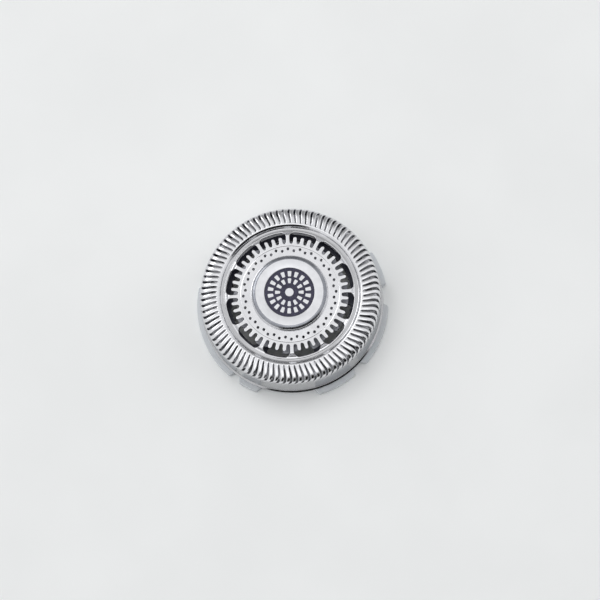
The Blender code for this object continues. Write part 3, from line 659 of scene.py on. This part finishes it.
class InnerTrack:
    """Plate, spokes and teeth inside a ring of places, round the bore, the windows and the holes."""

    def __init__(self, mesh, ring):
        self.mesh = mesh
        self.points = [mesh.flat(index) for index in ring]
        self.known = list(ring)
        self.outlines = [list(range(len(ring)))[::-1]]
        self.edges = []
        self.keep_out = []

    def add_loop(self, loop, drop=0.0):
        """Adds flat points and their places, and returns the points' indices."""
        first = len(self.points)
        for point in loop:
            bearing = math.degrees(math.atan2(point.x, point.y))
            self.known.append(self.mesh.place(point.length, bearing, drop))
        self.points += loop
        return list(range(first, len(self.points)))

    def add_hole(self, outline):
        """Adds a hole with a rounded edge."""
        self.keep_out.append(offset_outline(outline, EDGE_CLEARANCE))
        if winding(outline) < 0:
            outline = outline[::-1]
        self.outlines.append(self.add_loop(outline, EDGE_ROUND))
        for share, drop_share in EDGE_LINES:
            loop = self.add_loop(offset_outline(outline, share * EDGE_ROUND), drop_share * EDGE_ROUND)
            self.edges += zip(loop, loop[1:] + loop[:1])

    def add_bore(self):
        """Adds the bore, with a plain edge that the centre cap covers."""
        bore = [polar(BORE_RADIUS, 360 * side / BORE_SIDES).xy for side in range(BORE_SIDES)]
        self.outlines.append(self.add_loop(bore[::-1]))

    def add_windows(self):
        """Adds the toothed windows."""
        at_radius = self.mesh.sheet.at_radius
        for window in range(SPOKE_COUNT):
            outline = window_outline(window)
            self.add_hole([polar(at_radius(radius), bearing).xy for radius, bearing in outline])

    def add_round_holes(self):
        """Adds both rings of fine holes."""
        pitch = 360 / HOLES_PER_RING
        circle = [polar(HOLE_RADIUS, 360 * side / HOLE_SIDES) for side in range(HOLE_SIDES)]
        for radius, stagger in HOLE_RINGS:
            length = self.mesh.sheet.at_radius(radius)
            for hole in range(HOLES_PER_RING):
                centre = polar(length, SPOKE_PHASE + (hole + stagger) * pitch)
                self.add_hole([(centre + point).xy for point in circle])

    def is_clear(self, point):
        """Whether a flat point lies off every hole and its rounded edge."""
        return not any(inside(point, outline) for outline in self.keep_out)

    def add_grid(self, outer_length):
        """Adds rings of points clear of the holes, at the section's own lengths past the cap."""
        bearings = [(step + 0.5) * 360 / GRID_BEARINGS for step in range(GRID_BEARINGS)]
        for length in self.mesh.sheet.lengths:
            if CAP_BASE_RADIUS < length < outer_length - EDGE_ROUND:
                ring = [polar(length, bearing).xy for bearing in bearings]
                self.add_loop([point for point in ring if self.is_clear(point)])

    def add_faces(self):
        """Triangulates the points, and adds the triangles that lie in none of the holes."""
        vertices, _, made, originals, _, sources = geometry.delaunay_2d_cdt(
            self.points, self.edges, self.outlines, ONLY_INSIDE, CLOSEST_POINTS
        )
        index_of = []
        for vertex, original in zip(vertices, originals):
            if original:
                index_of.append(self.known[original[0]])
            else:
                bearing = math.degrees(math.atan2(vertex.x, vertex.y))
                index_of.append(self.mesh.place(vertex.length, bearing))
        for face, source in zip(made, sources):
            if list(source) == [0]:
                self.mesh.faces.append([index_of[index] for index in face])


def guard_mesh():
    """Guard's outer and inner track, joined along a seam on the groove's floor."""
    section = plate_section() + groove_section() + track_section() + rim_section()
    sheet = DrawnSheet(section, SHEET)
    mesh = SheetMesh(sheet, PLATE_TOP)
    seam = sheet.at_radius((GROOVE_INNER_RADIUS + GROOVE_OUTER_RADIUS) / 2)
    inner = InnerTrack(mesh, SlottedTrack(mesh).add_faces(seam))
    inner.add_bore()
    inner.add_windows()
    inner.add_round_holes()
    inner.add_grid(seam)
    inner.add_faces()
    return mesh


def make_guard():
    """Guard, polished on top, with rougher steel darkened by painted shade underneath and on its cut
    walls.
    """
    mesh = guard_mesh()
    guard = mesh.make("fine_guard")
    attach(guard, "head")
    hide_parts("guard")
    # Underside and cut walls: rough steel whose dark tone is painted shade
    dress(guard, polished_steel())
    guard.data.materials.append(shaded_cut_steel())
    for face in guard.data.polygons[len(mesh.faces):]:
        face.material_index = 1


def make_turned_solid(name, section):
    """Closed solid turned about the axis, from a section that starts and ends on the axis."""
    points = []
    rings = []
    for radius, height in section:
        if radius == 0:
            rings.append([len(points)] * CAP_SIDES)
            points.append(Vector((0, 0, height)))
            continue
        rings.append(list(range(len(points), len(points) + CAP_SIDES)))
        points += [polar(radius, 360 * side / CAP_SIDES, height) for side in range(CAP_SIDES)]
    faces = []
    for inner, outer in zip(rings, rings[1:]):
        for side in range(CAP_SIDES):
            after = (side + 1) % CAP_SIDES
            faces.append(distinct((inner[side], outer[side], outer[after], inner[after])))
    return make_mesh_object(name, points, faces)


def cap_section():
    """Cap's section from the floor of its recess, over the elliptical edge, to its spigot's foot."""
    floor = INLAY_BOTTOM - SEAT_GAP
    recess = INLAY_RADIUS + SEAT_GAP
    seat = PLATE_TOP + SEAT_GAP
    wall = seat + CAP_WALL_SHARE * (CAP_TOP - seat)
    lip = (EDGE_ROUND, EDGE_ROUND)
    edge = (CAP_BASE_RADIUS - CAP_TOP_RADIUS, CAP_TOP - wall)
    base = (CAP_BASE_ROUND, CAP_BASE_ROUND)
    section = [(0, floor), (recess - RECESS_CHAMFER, floor), (recess, floor + RECESS_CHAMFER)]
    section += arc((recess + EDGE_ROUND, CAP_TOP - EDGE_ROUND), lip, 180, 90, CAP_LIP_STEPS)
    section += arc((CAP_TOP_RADIUS, wall), edge, 90, 0, CAP_EDGE_STEPS)
    section += arc((CAP_BASE_RADIUS - base[0], seat + base[1]), base, 0, -90, CAP_BASE_STEPS)
    section += [(CAP_SPIGOT_RADIUS, seat), (CAP_SPIGOT_RADIUS, CAP_FOOT), (0, CAP_FOOT)]
    return section


def make_cap():
    """Raised cap: satin top, an edge darkened with painted shade, and a polished foot."""
    cap = make_turned_solid("fine_cap", cap_section())
    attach(cap, "head")
    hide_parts("centre_cap")
    dress(cap, satin_metal("cap_metal"))
    # The cap's edge takes a darker tone of painted shade
    cap.data.materials.append(shaded_edge_metal())
    cap.data.materials.append(polished_steel())
    edge_start, edge_end = CAP_SHADED_EDGE_RADII
    for face in cap.data.polygons:
        radius = min(math.hypot(*cap.data.vertices[index].co.xy) for index in face.vertices)
        if radius > edge_start:
            face.material_index = 1 if radius < edge_end else 2


def bar_outline(inner, outer, bearing, half_span):
    """Outline of one bar between two radii, with rounded corners."""
    middle = (inner + outer) / 2
    half = math.radians(half_span) * middle
    corners = ((outer, half, 0), (inner, half, 90), (inner, -half, 180), (outer, -half, 270))
    outline = []
    for radius, side, start in corners:
        centre_radius = radius - math.copysign(BAR_CORNER, radius - middle)
        centre_side = side - math.copysign(BAR_CORNER, side)
        for step in range(BAR_CORNER_STEPS + 1):
            turn = math.radians(start + 90 * step / BAR_CORNER_STEPS)
            here = centre_radius + BAR_CORNER * math.cos(turn)
            along = (centre_side + BAR_CORNER * math.sin(turn)) / half * half_span
            outline.append(polar(here, bearing + along))
    return outline


def add_prism(points, faces, outline, low, high):
    """Closed prism on an outline that runs clockwise seen from above."""
    first = len(points)
    count = len(outline)
    points += [Vector((point.x, point.y, high)) for point in outline]
    points += [Vector((point.x, point.y, low)) for point in outline]
    faces.append(list(range(first, first + count))[::-1])
    faces.append(list(range(first + count, first + 2 * count)))
    for index in range(count):
        after = (index + 1) % count
        faces.append([first + index, first + after, first + count + after, first + count + index])


def make_inlay():
    """Enamelled disc with raised metal bars and a dot."""
    points = []
    faces = []
    enamel_top = INLAY_TOP - ENAMEL_DEPTH
    bar_foot = enamel_top - ENAMEL_DEPTH
    rim = [polar(INLAY_RADIUS, 360 * side / INLAY_SIDES) for side in range(INLAY_SIDES)]
    add_prism(points, faces, rim, INLAY_BOTTOM, enamel_top)
    enamel_faces = len(faces)
    for count, inner, outer, span in BAR_RINGS:
        for bar in range(count):
            outline = bar_outline(inner, outer, 360 * bar / count, span / 2)
            add_prism(points, faces, outline, bar_foot, INLAY_TOP)
    dot = [polar(DOT_RADIUS, 360 * side / DOT_SIDES) for side in range(DOT_SIDES)]
    add_prism(points, faces, dot, bar_foot, INLAY_TOP)
    inlay = make_mesh_object("fine_inlay", points, faces)
    inlay.data.materials.append(enamel())
    inlay.data.materials.append(satin_metal("inlay_bars"))
    for face in inlay.data.polygons[enamel_faces:]:
        face.material_index = 1
    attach(inlay, "head")
    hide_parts("cap_inlay")


def share_within(bearing, spans, slope):
    """1 inside any of the spans of bearings, falling smoothly to 0 over a slope outside them."""
    depth = max(min(bearing - start, end - bearing) for start, end in spans)
    return smooth(min(max(1 + depth / slope, 0.0), 1.0))


def rounded(corners, radius, steps):
    """Closed section with each corner cut back and bent round."""
    section = []
    for index, corner in enumerate(corners):
        here = Vector(corner)
        before = Vector(corners[index - 1]) - here
        after = Vector(corners[(index + 1) % len(corners)]) - here
        reach = min(radius, before.length / ROUNDS_TO_A_SIDE, after.length / ROUNDS_TO_A_SIDE)
        start = here + before.normalized() * reach
        end = here + after.normalized() * reach
        for step in range(steps + 1):
            share = step / steps
            section.append(start.lerp(here, share).lerp(here.lerp(end, share), share))
    return section


def holder_section(bearing):
    """Section of the holder ring at a bearing, from the lip's foot up round the spigot."""
    lug = share_within(bearing, LUGS, LUG_END_SLOPE)
    gap = share_within(bearing, LIP_GAPS, LIP_END_SLOPE)
    lip = LIP_RADIUS + (LIP_GAP_RADIUS - LIP_RADIUS) * gap
    plain = ((FLANGE_RADIUS, 0), (FLANGE_RADIUS, FLANGE_THICKNESS - FLANGE_EDGE_ROUND),
             (FLANGE_RADIUS - FLANGE_EDGE_ROUND, FLANGE_THICKNESS))
    out = ((LUG_RADIUS, 0), (LUG_RADIUS, LUG_TOP), (LUG_STEP_RADIUS, LUG_TOP))
    corners = [(lip, 0)]
    corners += [Vector(a).lerp(Vector(b), lug) for a, b in zip(plain, out)]
    corners.append((corners[-1][0] - HOLDER_EDGE_ROUND * lug, FLANGE_THICKNESS))
    corners.append((HOLDER_OUTER_RADIUS, FLANGE_THICKNESS))
    corners.append((HOLDER_OUTER_RADIUS, HOLDER_TOP - HOLDER_CHAMFER))
    corners.append((HOLDER_OUTER_RADIUS - HOLDER_CHAMFER, HOLDER_TOP))
    corners += [(HOLDER_INNER_RADIUS, HOLDER_TOP), (HOLDER_INNER_RADIUS, LIP_THICKNESS)]
    corners.append((lip, LIP_THICKNESS))
    return rounded(corners, HOLDER_EDGE_ROUND, HOLDER_EDGE_STEPS)


def make_holder_ring():
    """Holder ring, swept round the axis through a section at each station."""
    points = []
    for station in range(HOLDER_STATIONS):
        bearing = 360 * station / HOLDER_STATIONS
        section = holder_section(bearing)
        points += [polar(radius, bearing, height) for radius, height in section]
    count = len(section)
    faces = []
    for station in range(HOLDER_STATIONS):
        here = station * count
        after = (station + 1) % HOLDER_STATIONS * count
        for k in range(count):
            following = (k + 1) % count
            faces.append((here + k, here + following, after + following, after + k))
    holder = make_mesh_object("fine_holder", points, faces)
    dress(holder, clear_plastic())
    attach(holder, "head")
    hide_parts("holder_ring")


def connect(tree, socket, source):
    """Feeds a socket from another socket, or sets its value."""
    if isinstance(source, bpy.types.NodeSocket):
        tree.links.new(source, socket)
    else:
        socket.default_value = source


def math_node(tree, operation, *sources):
    """Result of a sum on one or more numbers."""
    node = tree.nodes.new("ShaderNodeMath")
    node.operation = operation
    for socket, source in zip(node.inputs, sources):
        connect(tree, socket, source)
    return node.outputs[0]


def vector_math(tree, operation, *sources, output="Vector"):
    """Result of a sum on one or more vectors."""
    node = tree.nodes.new("ShaderNodeVectorMath")
    node.operation = operation
    for socket, source in zip(node.inputs, sources):
        connect(tree, socket, source)
    return node.outputs[output]


def ramp(tree, source, low, high, out_low=0.0, out_high=1.0):
    """Smooth step of a value from one range to another."""
    node = tree.nodes.new("ShaderNodeMapRange")
    node.interpolation_type = "SMOOTHSTEP"
    sources = (source, low, high, out_low, out_high)
    for name, value in zip(("Value", "From Min", "From Max", "To Min", "To Max"), sources):
        connect(tree, node.inputs[name], value)
    return node.outputs["Result"]


def noise(tree, vector, scale, detail):
    """Noise in an object's own space."""
    node = tree.nodes.new("ShaderNodeTexNoise")
    connect(tree, node.inputs["Vector"], vector)
    node.inputs["Scale"].default_value = scale
    node.inputs["Detail"].default_value = detail
    return node.outputs["Fac"]


def axis_distance(tree, place):
    """Distance of a place from the head's axis, and its height."""
    parts = tree.nodes.new("ShaderNodeSeparateXYZ")
    connect(tree, parts.inputs["Vector"], place)
    square = math_node(tree, "MULTIPLY", parts.outputs["X"], parts.outputs["X"])
    square = math_node(tree, "MULTIPLY_ADD", parts.outputs["Y"], parts.outputs["Y"], square)
    return math_node(tree, "SQRT", square), parts.outputs["Z"]


def turned_grain(tree, place, spacing):
    """Fine rings about the axis, as a lathe or a polishing wheel leaves them."""
    radius, height = axis_distance(tree, place)
    line = tree.nodes.new("ShaderNodeCombineXYZ")
    connect(tree, line.inputs["X"], radius)
    connect(tree, line.inputs["Y"], math_node(tree, "MULTIPLY", height, GRAIN_ON_WALLS))
    return noise(tree, line.outputs["Vector"], 1 / spacing, GRAIN_DETAIL)


def mixed(tree, factor, first, second):
    """Colour between two colours, each of them a socket or three numbers."""
    node = tree.nodes.new("ShaderNodeMix")
    node.data_type = "RGBA"
    connect(tree, node.inputs["Factor"], factor)
    colours = [socket for socket in node.inputs if socket.type == "RGBA"]
    for socket, colour in zip(colours, (first, second)):
        connect(tree, socket, colour if isinstance(colour, bpy.types.NodeSocket) else (*colour, 1))
    return [socket for socket in node.outputs if socket.type == "RGBA"][0]


def shade_in_rings(tree, place, tone, rings, shade_tone):
    """Tone that gives way to a darker tone of painted shade within rings about the axis."""
    radius, _ = axis_distance(tree, place)
    for inner, outer in rings:
        past_inner = ramp(tree, radius, inner - SHADE_FADE, inner + SHADE_FADE)
        before_outer = ramp(tree, radius, outer - SHADE_FADE, outer + SHADE_FADE, 1.0, 0.0)
        tone = mixed(tree, math_node(tree, "MULTIPLY", past_inner, before_outer), tone, shade_tone)
    return tone


def bumped(tree, height, relief):
    """Normal of a surface that has this relief."""
    bump = tree.nodes.new("ShaderNodeBump")
    bump.inputs["Strength"].default_value = 1.0
    bump.inputs["Distance"].default_value = relief
    connect(tree, bump.inputs["Height"], height)
    return bump.outputs["Normal"]


def surface(name, tones, roughness, patch, grain=None, relief=0.0, painted_shade=None, **values):
    """Material whose tone and gloss vary in patches, with a fine relief.

    The relief follows rings about the axis where grain is their spacing, and else it is speckle.
    Painted shade is a list of rings about the axis, as pairs of radii, and the darker tones painted
    into them.
    """
    material = bpy.data.materials.new(name)
    material.use_nodes = True
    tree = material.node_tree
    shader = tree.nodes["Principled BSDF"]
    place = tree.nodes.new("ShaderNodeTexCoord").outputs["Object"]
    patches = ramp(tree, noise(tree, place, 1 / patch, PATCH_DETAIL), *NOISE_RANGE)
    tone = mixed(tree, patches, *tones)
    # Painted shade: rings about the axis take darker tones
    if painted_shade:
        rings, shaded_tones = painted_shade
        tone = shade_in_rings(tree, place, tone, rings, mixed(tree, patches, *shaded_tones))
    connect(tree, shader.inputs["Base Color"], tone)
    gloss = noise(tree, place, GLOSS_SCALE / patch, PATCH_DETAIL)
    connect(tree, shader.inputs["Roughness"], ramp(tree, gloss, *NOISE_RANGE, *roughness))
    if relief:
        if grain:
            height = turned_grain(tree, place, grain)
        else:
            height = noise(tree, place, SPECKLE_SCALE / patch, SPECKLE_DETAIL)
        connect(tree, shader.inputs["Normal"], bumped(tree, height, relief))
    for socket, value in values.items():
        shader.inputs[socket.replace("_", " ")].default_value = value
    return material


def polished_steel():
    """Polished steel, with painted shade darkening the groove's floor and the skirt."""
    tones = ((0.735, 0.737, 0.755), (0.795, 0.797, 0.815))
    # Painted shade: the groove's floor and the skirt take darker copies of the steel's tones
    shaded_tones = [[part * SHADE_SHARE for part in tone] for tone in tones]
    return surface(
        "guard_steel", tones, roughness=(0.13, 0.2), patch=0.0016, grain=0.00006,
        relief=0.0000006, painted_shade=(SHADE_RINGS, shaded_tones), Metallic=1.0,
    )


def shaded_cut_steel():
    """Steel as the cutting tools leave it, rough, on the guard's underside and in its slots, its tone
    darkened with painted shade.
    """
    return surface(
        "shaded_cut_steel", ((0.22, 0.22, 0.25), (0.3, 0.3, 0.33)), roughness=(0.3, 0.42),
        patch=0.0012, relief=0.0000006, Metallic=1.0,
    )


def satin_metal(name):
    """Bare metal with a satin finish."""
    return surface(
        name, ((0.715, 0.72, 0.74), (0.775, 0.78, 0.8)), roughness=(0.28, 0.36),
        patch=0.0012, grain=0.00005, relief=0.0000012, Metallic=1.0,
    )


def shaded_edge_metal():
    """Metal of the cap's edge, darkened with painted shade."""
    return surface(
        "cap_edge_painted_shade", ((0.26, 0.27, 0.3), (0.34, 0.35, 0.38)), roughness=(0.24, 0.32),
        patch=0.0012, Metallic=1.0,
    )


def enamel():
    """Dark enamel of the inlay."""
    return surface(
        "inlay_enamel", ((0.016, 0.015, 0.04), (0.028, 0.026, 0.06)), roughness=(0.2, 0.3),
        patch=0.0008,
    )


def ground_steel(name, tones):
    """Ground steel of the blades: bright on the outer ones, darkened with painted shade on the inner
    ones.
    """
    return surface(
        name, tones, roughness=(0.4, 0.5), patch=0.0012, grain=0.00005, relief=0.0000006,
        Metallic=0.2,
    )


def carrier_plastic():
    """Near-black plastic of the cutter's carrier."""
    return surface(
        "carrier", ((0.010, 0.011, 0.026), (0.02, 0.022, 0.042)), roughness=(0.35, 0.5),
        patch=0.001,
    )


def bearing_plastic():
    """Off-white plastic of the bearing insert."""
    return surface(
        "bearing", ((0.62, 0.62, 0.6), (0.72, 0.72, 0.7)), roughness=(0.4, 0.5), patch=0.001,
    )


def clear_plastic():
    """Pale plastic of the holder ring, which lets some light through."""
    return surface(
        "holder", ((0.78, 0.82, 0.86), (0.84, 0.87, 0.90)), roughness=(0.12, 0.22),
        patch=0.002, relief=0.000001, Transmission_Weight=0.25, IOR=1.45,
    )


def paper():
    """Plain pale paper of the floor."""
    return surface(
        "paper", ((0.86, 0.87, 0.865), (0.89, 0.90, 0.895)), roughness=(0.85, 0.95), patch=0.03,
    )


def dress(item, material):
    """Gives an object one material, in place of any that it has."""
    item.data.materials.clear()
    item.data.materials.append(material)


def bevel(item, width):
    """Rounds an object's sharp edges."""
    modifier = item.modifiers.new("edge_round", "BEVEL")
    modifier.width = width
    modifier.segments = BEVEL_SEGMENTS
    modifier.limit_method = "ANGLE"
    modifier.angle_limit = math.radians(SHARP_ANGLE)


def dress_inner_pieces():
    """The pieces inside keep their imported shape, with broken edges."""
    for name, material, width in (
        ("outer_blade_ring", ground_steel("outer_blades", OUTER_BLADE_TONES), BLADE_BEVEL),
        # Inner blades: darker tones of painted shade
        ("inner_blade_ring", ground_steel("inner_blades_painted_shade", INNER_BLADE_SHADED_TONES), BLADE_BEVEL),
        ("cutter_carrier", carrier_plastic(), MOULDED_BEVEL),
        ("bearing_insert", bearing_plastic(), MOULDED_BEVEL),
    ):
        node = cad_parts[name]
        dress(node, material)
        bevel(node, width)


def make_floor():
    """Square of paper under the head."""
    half = FLOOR_HALF_SIDE
    corners = ((-half, -half, 0), (half, -half, 0), (half, half, 0), (-half, half, 0))
    floor = make_mesh_object("paper", corners, [(0, 1, 2, 3)])
    dress(floor, paper())


def make_softbox(name, place, radiance):
    """Square light that faces the origin."""
    data = bpy.data.lights.new(name, "AREA")
    data.shape = "SQUARE"
    data.size = SOFTBOX_SIDE
    data.energy = radiance * math.pi * SOFTBOX_SIDE**2
    light = bpy.data.objects.new(name, data)
    light.location = place
    light.rotation_euler = (-Vector(place)).to_track_quat("-Z", "Y").to_euler()
    bpy.context.collection.objects.link(light)
    return light


def make_lights():
    """A key behind the head that metal doesn't mirror, and a sheen at its left for metal alone."""
    key = make_softbox("key", KEY_PLACE, KEY)
    key.visible_glossy = False
    sheen = make_softbox("sheen", SHEEN_PLACE, SHEEN)
    sheen.visible_diffuse = False


def towards(tree, direction, way, angles, away=0.0, there=1.0):
    """Value that changes as a direction comes near a way, between two angles from it."""
    cosine = vector_math(tree, "DOT_PRODUCT", direction, way, output="Value")
    near, far = (math.cos(math.radians(angle)) for angle in angles)
    return ramp(tree, cosine, far, near, away, there)


def make_world():
    """Pale room, brighter overhead, with one dark side near the camera and one past the head."""
    world = bpy.data.worlds.new("studio")
    world.use_nodes = True
    tree = world.node_tree
    direction = tree.nodes.new("ShaderNodeTexCoord").outputs["Generated"]
    parts = tree.nodes.new("ShaderNodeSeparateXYZ")
    connect(tree, parts.inputs["Vector"], direction)
    upward = parts.outputs["Z"]
    level = ramp(tree, upward, *WORLD_RISE, WORLD_LOW, WORLD_HIGH)
    sideways = vector_math(tree, "MULTIPLY", direction, (1, 1, 0))
    sideways = vector_math(tree, "NORMALIZE", sideways)
    for bearing, angles, radiance, heights in DARK_SIDES:
        share = towards(tree, sideways, polar(1, bearing), angles)
        share = math_node(tree, "MULTIPLY", share, ramp(tree, upward, *heights, 1.0, 0.0))
        level = ramp(tree, share, 0.0, 1.0, level, radiance)
    lamp = Vector(LAMP_DIRECTION).normalized()
    level = towards(tree, direction, lamp, LAMP_ANGLES, level, LAMP)
    background = tree.nodes["Background"]
    background.inputs["Color"].default_value = WORLD_COLOUR
    connect(tree, background.inputs["Strength"], level)
    bpy.context.scene.world = world


def camera_axes():
    """Camera's right and up, and the direction back from what it looks at."""
    azimuth = math.radians(VIEW_AZIMUTH)
    elevation = math.radians(VIEW_ELEVATION)
    roll = math.radians(VIEW_ROLL)
    back = Vector((
        math.sin(azimuth) * math.cos(elevation),
        -math.cos(azimuth) * math.cos(elevation),
        math.sin(elevation),
    ))
    level_right = Vector((math.cos(azimuth), math.sin(azimuth), 0))
    level_up = back.cross(level_right)
    right = level_right * math.cos(roll) - level_up * math.sin(roll)
    up = level_right * math.sin(roll) + level_up * math.cos(roll)
    return right, up, back


def make_camera():
    """Camera that sees the head where the photograph shows it."""
    right, up, back = camera_axes()
    half = PHOTO_SIDE / 2
    across = (AXIS_PIXEL[0] - half) * PHOTO_SCALE
    above = (half - AXIS_PIXEL[1]) * PHOTO_SCALE
    target = Vector((0, 0, PLATE_TOP)) - right * across - up * above
    data = bpy.data.cameras.new("camera")
    data.sensor_width = SENSOR_MM
    data.lens = SENSOR_MM * VIEW_DISTANCE / (PHOTO_SIDE * PHOTO_SCALE)
    data.clip_start = CLIP_NEAR
    data.clip_end = CLIP_FAR
    camera = bpy.data.objects.new("camera", data)
    turn = Matrix((right, up, back)).transposed().to_4x4()
    camera.matrix_world = Matrix.Translation(target + back * VIEW_DISTANCE) @ turn
    bpy.context.collection.objects.link(camera)
    bpy.context.scene.camera = camera


make_guard()
make_cap()
make_inlay()
make_holder_ring()
dress_inner_pieces()
make_floor()
make_world()
make_lights()
bpy.context.scene.view_settings.view_transform = "Standard"
make_camera()
